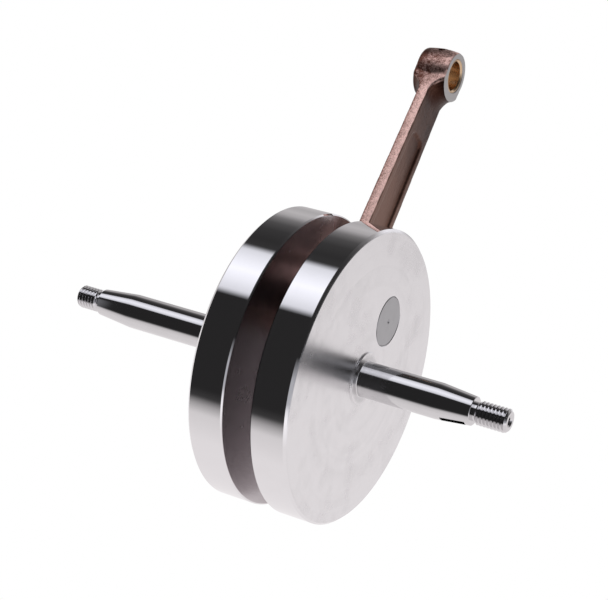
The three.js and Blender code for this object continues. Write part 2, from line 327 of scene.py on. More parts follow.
def apply_modifier(piece, kind, **settings):
    make_active(piece)
    modifier = piece.modifiers.new(kind.title(), kind)
    for key, value in settings.items():
        setattr(modifier, key, value)
    bpy.ops.object.modifier_apply(modifier=modifier.name)


def combine(piece, tool, operation="DIFFERENCE"):
    """Cuts a piece with a tool, or keeps what they share, and removes the tool."""
    apply_modifier(piece, "BOOLEAN", operation=operation, solver="EXACT", object=tool)
    bpy.data.objects.remove(tool)
    return piece


def join(name, pieces):
    """Several shells in one mesh."""
    make_active(pieces[0])
    for other in pieces[1:]:
        other.select_set(True)
    bpy.ops.object.join()
    pieces[0].name = name
    return pieces[0]


def finish_piece(piece, node, slot, smooth_angle=30):
    """Shades a piece, gives it the finish of its slot, ties it to the body that holds its node and hides
    that node.
    """
    make_active(piece)
    bpy.ops.object.shade_smooth_by_angle(angle=math.radians(smooth_angle))
    piece.data.materials.clear()
    piece.data.materials.append(finish_of(slot))
    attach(piece, body_holding(node))
    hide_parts(node)
    return piece


def body_holding(node):
    """The body that a node of the frame belongs to."""
    bodies = frame["record"]["behaviour"]["bodies"]
    return next(body for body, members in bodies.items() if node in members)


# ---- Shader nodes -------------------------------------------------------------------------------

class Value:
    """A socket whose arithmetic adds Math nodes."""

    def __init__(self, shader, socket):
        self.shader = shader
        self.socket = socket

    def math(self, operation, *operands, clamp=False):
        settings = {"operation": operation, "use_clamp": clamp}
        return self.shader.add("ShaderNodeMath", settings, dict(enumerate(operands)))

    def __add__(self, other):
        return self.math("ADD", self, other)

    def __radd__(self, other):
        return self.math("ADD", other, self)

    def __sub__(self, other):
        return self.math("SUBTRACT", self, other)

    def __rsub__(self, other):
        return self.math("SUBTRACT", other, self)

    def __mul__(self, other):
        return self.math("MULTIPLY", self, other)

    def __rmul__(self, other):
        return self.math("MULTIPLY", other, self)

    def __truediv__(self, other):
        return self.math("DIVIDE", self, other)

    def __abs__(self):
        return self.math("ABSOLUTE", self)

    def above(self, edge, soft):
        """0 below an edge and 1 above it, changing over a soft width."""
        return ((self - (edge - soft / 2)) / soft).clamped()

    def below(self, edge, soft):
        return 1 - self.above(edge, soft)

    def clamped(self):
        return self.math("ADD", self, 0.0, clamp=True)


class Shader:
    """The node tree of one material or of the world."""

    def __init__(self, tree):
        self.tree = tree
        tree.nodes.clear()

    def add(self, kind, settings=None, inputs=None, output=0):
        """Adds a node: its settings are set first, then its sockets' values or links."""
        node = self.tree.nodes.new(kind)
        for key, value in (settings or {}).items():
            if key == "stops":
                self.set_stops(node.color_ramp, value)
            else:
                setattr(node, key, value)
        for key, value in (inputs or {}).items():
            if isinstance(value, Value):
                self.tree.links.new(value.socket, node.inputs[key])
            else:
                node.inputs[key].default_value = value
        return Value(self, node.outputs[output]) if node.outputs else None

    @staticmethod
    def set_stops(ramp, stops):
        while len(ramp.elements) < len(stops):
            ramp.elements.new(1.0)
        for element, (position, grey) in zip(ramp.elements, stops):
            element.position = position
            element.color = (grey, grey, grey, 1.0)

    def place(self, centre=(0, 0, 0), turn=(0, 0, 0)):
        """The point being shaded, seen from a centre and turned about it."""
        coordinates = self.add("ShaderNodeTexCoord", output="Object")
        moved = self.add("ShaderNodeVectorMath", {"operation": "SUBTRACT"}, {0: coordinates, 1: centre})
        return self.add("ShaderNodeMapping", {"vector_type": "POINT"}, {"Vector": moved, "Rotation": turn})

    def split(self, vector):
        node = self.add("ShaderNodeSeparateXYZ", inputs={"Vector": vector}).socket.node
        return [Value(self, output) for output in node.outputs]

    def joined(self, x, y, z):
        return self.add("ShaderNodeCombineXYZ", inputs={"X": x, "Y": y, "Z": z})

    def noise(self, vector, scale, detail=2.0, roughness=0.5):
        """Soft noise between 0 and 1; the scale is in cells per metre."""
        return self.add(
            "ShaderNodeTexNoise", None,
            {"Vector": vector, "Scale": scale, "Detail": detail, "Roughness": roughness},
        )

    def mix_colour(self, factor, first, second):
        settings = {"data_type": "RGBA", "blend_type": "MIX"}
        inputs = {"Factor": factor, 6: opaque(first), 7: opaque(second)}
        return self.add("ShaderNodeMix", settings, inputs, output=2)

    def bump(self, height, distance, strength=1.0):
        return self.add(
            "ShaderNodeBump", None, {"Height": height, "Distance": distance, "Strength": strength},
        )

    def metal(self, base, roughness, normal=None, metallic=1.0, glow=0.0):
        """Ends the tree in a Principled surface, a metal unless told otherwise."""
        inputs = {"Base Color": opaque(base), "Roughness": roughness, "Metallic": metallic}
        if glow:
            inputs.update({"Emission Color": (1, 1, 1, 1), "Emission Strength": glow})
        if normal is not None:
            inputs["Normal"] = normal
        surface = self.add("ShaderNodeBsdfPrincipled", None, inputs)
        self.add("ShaderNodeOutputMaterial", None, {"Surface": surface})


def opaque(value):
    """A colour with its alpha, or a link as it is."""
    return value if isinstance(value, Value) else (*value, 1.0)


def new_material(name):
    material = bpy.data.materials.new(name)
    material.use_nodes = True
    return material, Shader(material.node_tree)


def length_of(across, up):
    """Distance from the X axis."""
    return across.math("SQRT", across * across + up * up)


def polar(shader, vector):
    """Place along X, distance from the X axis and angle round it in turns."""
    along, across, up = shader.split(vector)
    distance = length_of(across, up)
    turns = across.math("ARCTAN2", up, across) / math.tau
    return along, distance, turns


def turned_steel(shader, finishes):
    """Turned webs with fine rings on their faces, and polished rims and shafts with a few scuffs; the
    inner faces of the webs are painted darker and pinker as shade in the gap round the rod.
    """
    point = shader.place()
    along, distance, turns = polar(shader, point)
    side = abs(along)
    face = distance.above(6.3 * MM, 0.1 * MM) * distance.below(WEB_RADIUS - 0.7 * MM, 0.1 * MM)
    # inside marks the inner faces of the webs, which are painted darker (inside * 0.34 below) and pinker:
    # painted shade in the gap between the webs.
    inside = side.below(WEB_INNER + 0.1 * MM, 0.1 * MM)
    rings = shader.noise(shader.joined(distance, turns * 0.0004, along * 0.02), 4400.0, 2.0)
    bands = shader.noise(shader.joined(distance, turns * 0.004, along), 300.0, 3.0, 0.6)
    cloud = shader.noise(point, 55.0, 5.0, 0.6)
    handling = shader.noise(point, 160.0, 5.0, 0.65)
    grain = shader.noise(shader.joined(along * 4, distance, turns * 0.02), 1500.0, 3.0, 0.6)
    nicks = shader.noise(shader.joined(along * 5, turns * 0.09, distance), 420.0, 5.0, 0.75)
    marks = nicks.above(0.69, 0.05) * (1 - face)
    smudge = cloud.above(0.56, 0.16)
    height = rings * face + marks * -0.10 + grain * (1 - face) * 0.006
    shaft = distance.below(8 * MM, 1 * MM)
    sizes = bpy.context.scene.crank_sizes
    # slots marks the inside of the two key slots, which are painted nearly black below (slots * 0.8):
    # painted shade in the slots.
    slot_reach = 4.9 * MM
    slots = sum(
        side.above(key - slot_reach, 0.1 * MM) * side.below(key + slot_reach, 0.1 * MM)
        * (distance + (side - taper) * sizes.taper).below(sizes.shaft_radius - 0.15 * MM, 0.1 * MM)
        for key, taper in ((sizes.right_key, sizes.right_taper), (sizes.left_key, sizes.left_taper))
    )
    grey = (
        1 - (bands - 0.5) * face * 0.14 - smudge * face * 0.07 - (handling - 0.5) * 0.08
        - marks * 0.10 - inside * 0.34 - shaft * 0.15 - slots * 0.8
    )
    tinted = shader.mix_colour(inside, tuple(finishes.turned), tuple(finishes.inner))
    base = shader.mix_colour(grey.clamped(), BLACK, tinted)
    rough = (
        face * finishes.face_roughness
        + (1 - face) * finishes.rim_roughness
        + (handling - 0.5) * (0.02 + face * 0.06)
        + smudge * face * 0.03
        + shaft * 0.03 + slots * 0.3
        + marks * 0.16
    )
    shader.metal(base, rough.clamped(), shader.bump(height, 0.012 * MM))


def pin_steel(shader, finishes):
    """Ground crankpin: faint grinding arcs on its end, a slightly darker grey, and painted shade over the
    centre dimple.
    """
    point = shader.place(centre=tuple(PIN_CENTRE))
    along, distance, turns = polar(shader, point)
    arcs = shader.noise(shader.joined(distance, along, turns * 0.002), 3800.0, 2.0)
    cloud = shader.noise(point, 420.0, 4.0, 0.6)
    # Painted shade: the pin's ends are darker round the axis, over the centre dimple.
    dimple_shade = distance.below(1.1 * MM, 0.7 * MM)
    grey = 1 - (cloud - 0.5) * 0.16 - dimple_shade * 0.08
    base = shader.mix_colour(grey.clamped(), BLACK, tuple(finishes.pin))
    rough = 0.34 + (cloud - 0.5) * 0.10 + (arcs - 0.5) * 0.04
    shader.metal(base, rough, shader.bump(arcs + cloud * 2, 0.0015 * MM))


def bearing_steel(shader, finishes):
    """Hardened and lapped steel of the needles and washers, with a few faint rubbing lines."""
    point = shader.place(centre=tuple(PIN_CENTRE))
    along, distance, turns = polar(shader, point)
    rub = shader.noise(shader.joined(distance, along, turns * 0.003), 3000.0, 3.0)
    oil = shader.noise(point, 300.0, 3.0)
    base = shader.mix_colour(oil, tuple(finishes.bearing), tuple(0.8 * c for c in finishes.bearing))
    shader.metal(base, 0.18 + (rub - 0.5) * 0.12, shader.bump(rub, 0.001 * MM))


def coppered_steel(shader, finishes):
    """Copper plate over a forged skin: bright and grainy round the sides, with painted light and shade
    across them;
    the wide faces painted darker as shade, by which way they face and by height, with stains; bare
    machined steel on the end faces and in the bores."""
    rod = bpy.context.scene.rod_sizes
    point = shader.place(centre=tuple(PIN_CENTRE))
    upright = shader.place(centre=tuple(PIN_CENTRE), turn=(-ROD_LEAN, 0, 0))
    along, across, height = shader.split(upright)
    side = abs(along)
    from_small = length_of(across, height - ROD_LENGTH)
    from_big = length_of(across, height)
    small_face = side.above(SMALL_END_HALF - 0.06 * MM, 0.04 * MM)
    small_bore = from_small.below(6.15 * MM, 0.05 * MM)
    big_face = side.above(BIG_END_HALF - 0.06 * MM, 0.04 * MM) * from_big.below(15.2 * MM, 0.1 * MM)
    big_bore = from_big.below(ROD_BORE + 0.3 * MM, 0.05 * MM)
    bare = (small_face + small_bore + big_face + big_bore).clamped()
    # wide marks the wide faces, chosen mostly by which way they face; there the copper is painted darker
    # as shade.
    wide = shader.add("ShaderNodeAttribute", {"attribute_name": WIDE_FACE_SHADE}, output="Fac")
    knob = from_small.below(11 * MM, 4 * MM)
    grain = shader.noise(point, 2300.0, 3.0, 0.7)
    fine = shader.noise(point, 5200.0, 2.0, 0.6)
    mottle = shader.noise(point, 560.0, 5.0, 0.65)
    stain = shader.noise(point, 110.0, 4.0, 0.6)
    drawn = shader.noise(shader.joined(along, across, height * 0.10), 1300.0, 4.0, 0.6)
    strip = 1 - knob
    bright = (
        0.74 + (mottle - 0.5) * (0.9 + knob * 1.9) + (stain - 0.5) * 0.9 + (grain - 0.5) * 2.6
        # Painted light on the small end: it is made darker overall and lighter towards +X, where a painted
        # highlight stands.
        + knob * (along / SMALL_END_HALF * 0.50 - 0.46)
        # Painted light and shade across the shank's sides: lighter towards +X, with a painted dark band at
        # the -X edge.
        + strip * along / rod.shank_half * 0.34
        - strip * along.below(-0.72 * rod.shank_half, 0.3 * rod.shank_half) * 0.35
    ).clamped()
    skin = shader.mix_colour(bright, tuple(finishes.copper_tarnish_and_shade), tuple(finishes.copper))
    # Painted shade on the wide faces: darker towards the small end and towards +Y, with stain and grain
    # noise.
    panel_shade_and_stain = (
        1.0 - (height - 40 * MM) / (36 * MM) * 0.85 - across * 22.0
        + (drawn - 0.5) * 0.5 + (stain - 0.5) * 0.9 + (grain - 0.5) * 0.5
    ).clamped()
    panel = shader.mix_colour(panel_shade_and_stain, tuple(finishes.copper_dark_shade), tuple(finishes.copper_panel_shade))
    plated = shader.mix_colour(wide, skin, panel)
    turning = shader.noise(shader.joined(from_small, from_big * 0.01, along), 3600.0, 2.0)
    base = shader.mix_colour(bare, plated, tuple(finishes.machined))
    rough = (
        (1 - bare) * (0.30 + knob * 0.10 + wide * 0.08 + (fine - 0.5) * 0.2 + (stain - 0.5) * 0.1)
        + bare * 0.30
    )
    forged = grain + mottle * 2.6 + drawn * 0.9 + fine * 0.35
    relief = (1 - bare) * forged + bare * turning * 0.25
    shader.metal(base, rough.clamped(), shader.bump(relief, 0.045 * MM))


def bush_bronze(shader, finishes):
    """Bored bronze with fine tool lines round the bore."""
    point = shader.place(centre=tuple(SMALL_END))
    along, distance, turns = polar(shader, point)
    lines = shader.noise(shader.joined(along, distance, turns * 0.002), 3200.0, 2.0)
    cloud = shader.noise(point, 500.0, 3.0)
    base = shader.mix_colour(cloud, tuple(finishes.bronze), tuple(0.78 * c for c in finishes.bronze))
    shader.metal(base, 0.26 + (lines - 0.5) * 0.15, shader.bump(lines, 0.002 * MM))


def cage_bronze(shader, finishes):
    """Machined bronze of the cage, a little stained by oil."""
    point = shader.place(centre=tuple(PIN_CENTRE))
    cloud = shader.noise(point, 350.0, 4.0, 0.6)
    fine = shader.noise(point, 3000.0, 2.0)
    base = shader.mix_colour(cloud, tuple(finishes.cage), tuple(0.6 * c for c in finishes.cage))
    shader.metal(base, 0.34 + (fine - 0.5) * 0.2, shader.bump(fine + cloud * 2, 0.002 * MM))


FINISH_MAKERS = {
    "turned_steel": turned_steel,
    "pin_steel": pin_steel,
    "bearing_steel": bearing_steel,
    "coppered_steel": coppered_steel,
    "bush_bronze": bush_bronze,
    "cage_bronze": cage_bronze,
}


def finish_of(slot):
    """The finish of a material slot, made when it is first asked for."""
    name = slot + "_finish"
    if name not in bpy.data.materials:
        material, shader = new_material(name)
        FINISH_MAKERS[slot](shader, bpy.context.scene.crank_finishes)
    return bpy.data.materials[name]


# ---- Crank halves and crankpin ------------------------------------------------------------------

def shaft_profile(sizes, taper_start, taper_length, end):
    """From the inner face of the web out to the bottom of the centre hole."""
    web, boss, shaft = WEB_RADIUS, sizes.boss_radius, sizes.shaft_radius
    boss_face = WEB_OUTER + sizes.boss_height
    break_edge = 0.15 * MM
    taper_end = taper_start + taper_length
    small = shaft - taper_length * sizes.taper
    thread_start = taper_end + sizes.neck_length
    fillet = [
        (
            boss_face + sizes.root_fillet * (1 - math.cos(step * math.pi / 8)),
            shaft + sizes.root_fillet * (1 - math.sin(step * math.pi / 8)),
        )
        for step in range(5)
    ]
    return [
        (WEB_INNER, web - sizes.web_inner_edge),
        (WEB_INNER + sizes.web_inner_edge, web),
        (WEB_OUTER - sizes.web_edge, web),
        (WEB_OUTER, web - sizes.web_edge),
        (WEB_OUTER, boss + break_edge),
        (WEB_OUTER + break_edge, boss),
        (boss_face - break_edge, boss),
        (boss_face, boss - break_edge),
        *fillet,
        (taper_start, shaft),
        (taper_end - break_edge, small + break_edge * sizes.taper),
        (taper_end, small - break_edge),
        (taper_end, sizes.neck_radius),
        (thread_start, sizes.neck_radius),
        (thread_start + sizes.thread_radius - sizes.neck_radius, sizes.thread_radius),
        (end - sizes.thread_edge, sizes.thread_radius),
        (end, sizes.thread_radius - sizes.thread_edge),
        (end, sizes.hole_radius + sizes.hole_sink),
        (end - sizes.hole_sink, sizes.hole_radius),
        (end - sizes.hole_depth, sizes.hole_radius),
        (end - sizes.hole_depth - sizes.hole_radius, CONE_TIP),
    ]


def thread_cutter(sizes, start, threads):
    """A right-hand helix of a 60 degree groove about the X axis."""
    pitch = sizes.thread_pitch
    root = sizes.thread_radius - THREAD_DEPTH * pitch
    corner = THREAD_CUTTER * pitch
    bpy.ops.object.select_all(action="DESELECT")
    bpy.ops.mesh.primitive_circle_add(
        vertices=3, radius=corner, fill_type="NOTHING",
        location=(start, 0, root + corner), rotation=(-math.pi / 2, 0, 0),
    )
    cutter = new_piece("thread_cutter")
    apply_modifier(
        cutter, "SCREW", axis="X", screw_offset=pitch, iterations=threads,
        steps=48, render_steps=48, use_smooth_shade=False,
    )
    edit(cutter)
    bpy.ops.mesh.fill_holes(sides=3)
    close_edit()
    return cutter


def key_cutter(sizes, place, taper_start, turn, side):
    """The round cutter that leaves a half-moon slot in a taper."""
    surface = sizes.shaft_radius - max(0.0, place - taper_start) * sizes.taper
    drop = surface - sizes.key_depth + sizes.key_cutter
    bpy.ops.object.select_all(action="DESELECT")
    bpy.ops.mesh.primitive_cylinder_add(
        vertices=96, radius=sizes.key_cutter, depth=sizes.key_width,
        location=(side * place, drop * math.sin(turn), -drop * math.cos(turn)),
        rotation=(math.pi / 2 + turn, 0, 0),
    )
    return new_piece("key_cutter")


def pin_bore(sizes, side):
    """The bore of a web for the crankpin, with its chamfers."""
    bore = PIN_RADIUS + sizes.pin_fit
    edge = sizes.pin_edge
    over = 0.5 * MM
    profile = [
        (side * (WEB_INNER - over), bore + edge + over),
        (side * (WEB_INNER + edge), bore),
        (side * (WEB_OUTER - edge), bore),
        (side * (WEB_OUTER + over), bore + edge + over),
    ]
    cutter = lathe("pin_bore", profile, sizes.web_sides)
    cutter.location = PIN_CENTRE
    return settle(cutter)


def crank_half(name, node, side):
    """One web with its shaft: turned, threaded, slotted and bored."""
    sizes = bpy.context.scene.crank_sizes
    if side > 0:
        taper_start, taper_length, end = sizes.right_taper, sizes.right_taper_length, RIGHT_END
        key, turn = sizes.right_key, sizes.right_key_turn
    else:
        taper_start, taper_length, end = sizes.left_taper, sizes.left_taper_length, LEFT_END
        key, turn = sizes.left_key, sizes.left_key_turn
    profile = shaft_profile(sizes, taper_start, taper_length, end)
    piece = lathe(name, [(side * place, radius) for place, radius in profile], sizes.web_sides)
    neck = taper_start + taper_length + sizes.neck_length / 2
    threads = math.ceil((end - neck) / sizes.thread_pitch + 0.8)
    start = neck if side > 0 else -neck - threads * sizes.thread_pitch
    combine(piece, thread_cutter(sizes, start, threads))
    combine(piece, key_cutter(sizes, key, taper_start, turn, side))
    combine(piece, pin_bore(sizes, side))
    finish_piece(piece, node, "turned_steel")


class CRANKSHAFT_OT_right_half(bpy.types.Operator):
    """Turns the right web with the short shaft"""
    bl_idname = "crankshaft.right_half"
    bl_label = "Right Crank Half"

    def execute(self, context):
        crank_half("right_web_and_shaft", "right_crank_half", 1)
        return {"FINISHED"}


class CRANKSHAFT_OT_left_half(bpy.types.Operator):
    """Turns the left web with the long shaft"""
    bl_idname = "crankshaft.left_half"
    bl_label = "Left Crank Half"

    def execute(self, context):
        crank_half("left_web_and_shaft", "left_crank_half", -1)
        return {"FINISHED"}


class CRANKSHAFT_OT_crankpin(bpy.types.Operator):
    """Turns the crankpin that is pressed into both webs"""
    bl_idname = "crankshaft.crankpin"
    bl_label = "Crankpin"

    def execute(self, context):
        sizes = context.scene.crank_sizes
        edge, dimple, deep = 0.35 * MM, 0.8 * MM, 0.5 * MM
        right = [
            (WEB_OUTER - edge, PIN_RADIUS), (WEB_OUTER, PIN_RADIUS - edge),
            (WEB_OUTER, dimple), (WEB_OUTER - deep, CONE_TIP),
        ]
        piece = lathe("pressed_crankpin", mirrored(right), sizes.web_sides)
        piece.location = PIN_CENTRE
        settle(piece)
        finish_piece(piece, "crankpin", "pin_steel")
        return {"FINISHED"}


# ---- Connecting rod, made upright with the crankpin axis at the origin ---------------------------

def shank_half_width(sizes, height):
    """Half the width of the shank at a height."""
    foot, top = BIG_END_RADIUS, ROD_LENGTH - sizes.small_end_wall
    fall = (sizes.foot_width - sizes.top_width) / 2 / (top - foot)
    return sizes.foot_width / 2 - (height - foot) * fall


def side_fillet(sizes, end_height, end_radius, towards):
    """The arc that leads from a round end of the rod into the side of the shank."""
    foot = Vector((shank_half_width(sizes, 0), 0))
    top = Vector((shank_half_width(sizes, ROD_LENGTH), ROD_LENGTH))
    line = (top - foot).normalized()
    normal = Vector((line.y, -line.x))
    radius = sizes.side_fillet
    reach = normal.dot(foot - Vector((0, end_height))) + radius
    run = towards * math.sqrt((end_radius + radius) ** 2 - reach ** 2)
    centre = Vector((0, end_height)) + normal * reach + line * run
    from_end = math.atan2(end_height - centre.y, -centre.x)
    to_side = math.atan2(-normal.y, -normal.x)
    return arc(centre, radius, from_end, to_side, 12)


def arc(centre, radius, start, end, steps):
    """Points of an arc, the short way round."""
    turn = math.remainder(end - start, math.tau)
    angles = [start + turn * step / steps for step in range(steps + 1)]
    return [(centre.x + radius * math.cos(a), centre.y + radius * math.sin(a)) for a in angles]


def shank_outline(sizes):
    """The rod between its two round ends, seen along the crank axis."""
    right = side_fillet(sizes, 0, BIG_END_RADIUS, 1)
    right += reversed(side_fillet(sizes, ROD_LENGTH, sizes.small_end_wall, -1))
    return right + [(-across, up) for across, up in reversed(right)]


def mark_wide_face_shade(piece, sizes):
    """Records at each point how far it belongs to a wide face of the rod rather than to its sides: the
    mask by which the wide faces are painted darker as shade.
    """
    outline = [(up, across) for across, up in shank_outline(sizes) if across > 0]
    upright = Matrix.Rotation(-ROD_LEAN, 3, "X")
    attribute = piece.data.attributes.new(WIDE_FACE_SHADE, "FLOAT", "POINT")
    for vertex, entry in zip(piece.data.vertices, attribute.data):
        point = upright @ (vertex.co - PIN_CENTRE)
        # Which way a point faces sets how much of the painted shade of the wide faces it gets.
        squarely = (abs(vertex.normal.x) - 0.45) / 0.35
        half = np.interp(point.z, *zip(*outline), left=0, right=0)
        inside = (half - abs(point.y) - 0.45 * MM) / (0.4 * MM)
        from_small = math.hypot(point.y, point.z - ROD_LENGTH)
        outside_ring = (from_small - sizes.small_end_wall - sizes.small_end_lip * 0.6) / (0.4 * MM)
        entry.value = min(max(squarely, min(inside, outside_ring), 0.0), 1.0)


def flared_disc(sizes, name, half, radius):
    """A disc that is thickest at its middle and falls by a hollow curve to the shank."""
    rise = min(half - sizes.shank_half, sizes.flare_radius)
    sweep = math.acos(1 - rise / sizes.flare_radius)
    curve = []
    for step in range(13):
        angle = sweep * step / 12
        reach = sizes.flare_radius * (math.sin(sweep) - math.sin(angle))
        curve.append((sizes.shank_half + sizes.flare_radius * (1 - math.cos(angle)), radius + reach))
    return lathe(name, mirrored(curve), 96)


def lifted(piece, height):
    """A piece moved up the rod."""
    piece.location.z = height
    return settle(piece)


def recess_cutter(sizes, side):
    """A panel with leaning walls and rounded corners, for one face of the shank."""
    low = BIG_END_RADIUS + sizes.recess_foot
    high = ROD_LENGTH - sizes.small_end_wall - sizes.recess_top
    floor = sizes.shank_half - sizes.recess_depth
    outside = sizes.shank_half + 1 * MM
    bpy.ops.object.select_all(action="DESELECT")
    bpy.ops.mesh.primitive_cube_add(
        size=1, location=(side * (floor + outside) / 2, 0, (low + high) / 2),
        scale=(outside - floor, 1 * MM, high - low),
    )
    cutter = new_piece("recess_cutter")
    for vertex in cutter.data.vertices:
        lean = sizes.recess_draft if abs(vertex.co.x) > (floor + outside) / 2 else 0.0
        end = high if vertex.co.z > (low + high) / 2 else low
        half = shank_half_width(sizes, end) - sizes.recess_border + lean
        vertex.co.y = math.copysign(half, vertex.co.y)
        vertex.co.z = end + math.copysign(lean, vertex.co.z - (low + high) / 2)
    edit(cutter)
    ends = cutter.data.vertices
    select_where(
        cutter, "edges",
        lambda edge: abs(ends[edge.vertices[0]].co.x - ends[edge.vertices[1]].co.x) > 1 * MM,
    )
    bpy.ops.mesh.bevel(offset=2.2 * MM, segments=6)
    close_edit()
    return cutter


def machining_spool(name, half, reach, bore, edge, height):
    """A cutter that faces both sides of a round end and bores it, with a chamfer at each side."""
    outside = half + 3 * MM
    right = [(half - edge, bore), (half, bore + edge), (half, reach), (outside, reach)]
    return lifted(lathe(name, mirrored(right), ROUND_SIDES), height)


def oil_drill(sizes, inner, outer):
    """Two drills that enter the small end from above, one each side."""
    drills = []
    for side in (-1, 1):
        angle = side * math.pi / 4
        middle = (inner + outer) / 2
        bpy.ops.object.select_all(action="DESELECT")
        bpy.ops.mesh.primitive_cylinder_add(
            vertices=48, radius=sizes.oil_radius, depth=outer - inner,
            location=(0, -middle * math.sin(angle), ROD_LENGTH + middle * math.cos(angle)),
            rotation=(angle, 0, 0),
        )
        drills.append(new_piece("oil_drill"))
    return join("oil_drills", drills)


def forging(sizes):
    """The rod as forged: overlapping shells fused into one skin, then softened."""
    outline = shank_outline(sizes)
    small_half, big_half = SMALL_END_HALF + sizes.stock, BIG_END_HALF + sizes.stock
    shank = plate("connecting_rod_forging", outline, sizes.shank_half)
    for side in (-1, 1):
        combine(shank, recess_cutter(sizes, side))
    low_flare = flared_disc(sizes, "low_flare", big_half, BIG_END_RADIUS)
    combine(low_flare, plate("outline", outline, small_half), "INTERSECT")
    high_flare = flared_disc(sizes, "high_flare", small_half, sizes.small_end_wall + sizes.small_end_lip)
    combine(lifted(high_flare, ROD_LENGTH), plate("outline", outline, small_half), "INTERSECT")
    big_end = lathe("big_end", [(-big_half, BIG_END_RADIUS), (big_half, BIG_END_RADIUS)], ROUND_SIDES)
    wall, edge = sizes.small_end_wall, sizes.small_end_edge
    flank = SMALL_END_HALF - edge
    middle = (SMALL_END_CROWN + wall) / 2 + 0.14 * (SMALL_END_CROWN - wall)
    right = [(0.5 * flank, middle), (flank, wall), (flank + edge + sizes.stock, wall - edge)]
    profile = [(-place, radius) for place, radius in reversed(right)] + [(0, SMALL_END_CROWN)] + right
    small_end = lifted(lathe("small_end", profile, ROUND_SIDES), ROD_LENGTH)
    rod = join("connecting_rod_forging", [shank, low_flare, high_flare, big_end, small_end])
    grain = sizes.grain * 1
    apply_modifier(rod, "REMESH", mode="VOXEL", voxel_size=grain, use_smooth_shade=True)
    apply_modifier(rod, "SMOOTH", factor=0.5, iterations=7)
    return rod


def stand_on_crankpin(piece):
    """Leans an upright piece and sets it on the crankpin."""
    piece.rotation_euler.x = ROD_LEAN
    piece.location = PIN_CENTRE
    return settle(piece)


class CRANKSHAFT_OT_connecting_rod(bpy.types.Operator):
    """Forges the connecting rod, then bores and faces its two ends"""
    bl_idname = "crankshaft.connecting_rod"
    bl_label = "Connecting Rod"

    def execute(self, context):
        sizes = context.scene.rod_sizes
        rod = forging(sizes)
        seat = sizes.bush_bore + sizes.bush_wall + 0.02 * MM
        edge = sizes.bore_edge
        combine(rod, machining_spool("big_end_tool", BIG_END_HALF, 18 * MM, ROD_BORE, edge, 0))
        combine(rod, machining_spool("small_end_tool", SMALL_END_HALF, 16 * MM, seat, edge, ROD_LENGTH))
        combine(rod, oil_drill(sizes, seat / 2, SMALL_END_CROWN + 1 * MM))
        stand_on_crankpin(rod)
        mark_wide_face_shade(rod, sizes)
        finish_piece(rod, "connecting_rod", "coppered_steel", smooth_angle=40)
        return {"FINISHED"}


class CRANKSHAFT_OT_bush(bpy.types.Operator):
    """Turns the small-end bush and drills its oil holes"""
    bl_idname = "crankshaft.bush"
    bl_label = "Small-End Bush"

    def execute(self, context):
        sizes = context.scene.rod_sizes
        half = BUSH_HIGH.x
        bore, edge, outer_edge = sizes.bush_bore, sizes.bush_edge, 0.12 * MM
        wall = bore + sizes.bush_wall
        right = [
            (half - edge, bore), (half, bore + edge),
            (half, wall - outer_edge), (half - outer_edge, wall),
        ]
        bush = lifted(lathe("bronze_bush", ring_of(right), ROUND_SIDES, ring=True), ROD_LENGTH)
        combine(bush, oil_drill(sizes, bore / 2, wall + 1 * MM))
        stand_on_crankpin(bush)
        finish_piece(bush, "small_end_bush", "bush_bronze")
        return {"FINISHED"}


# ---- Big-end bearing ----------------------------------------------------------------------------

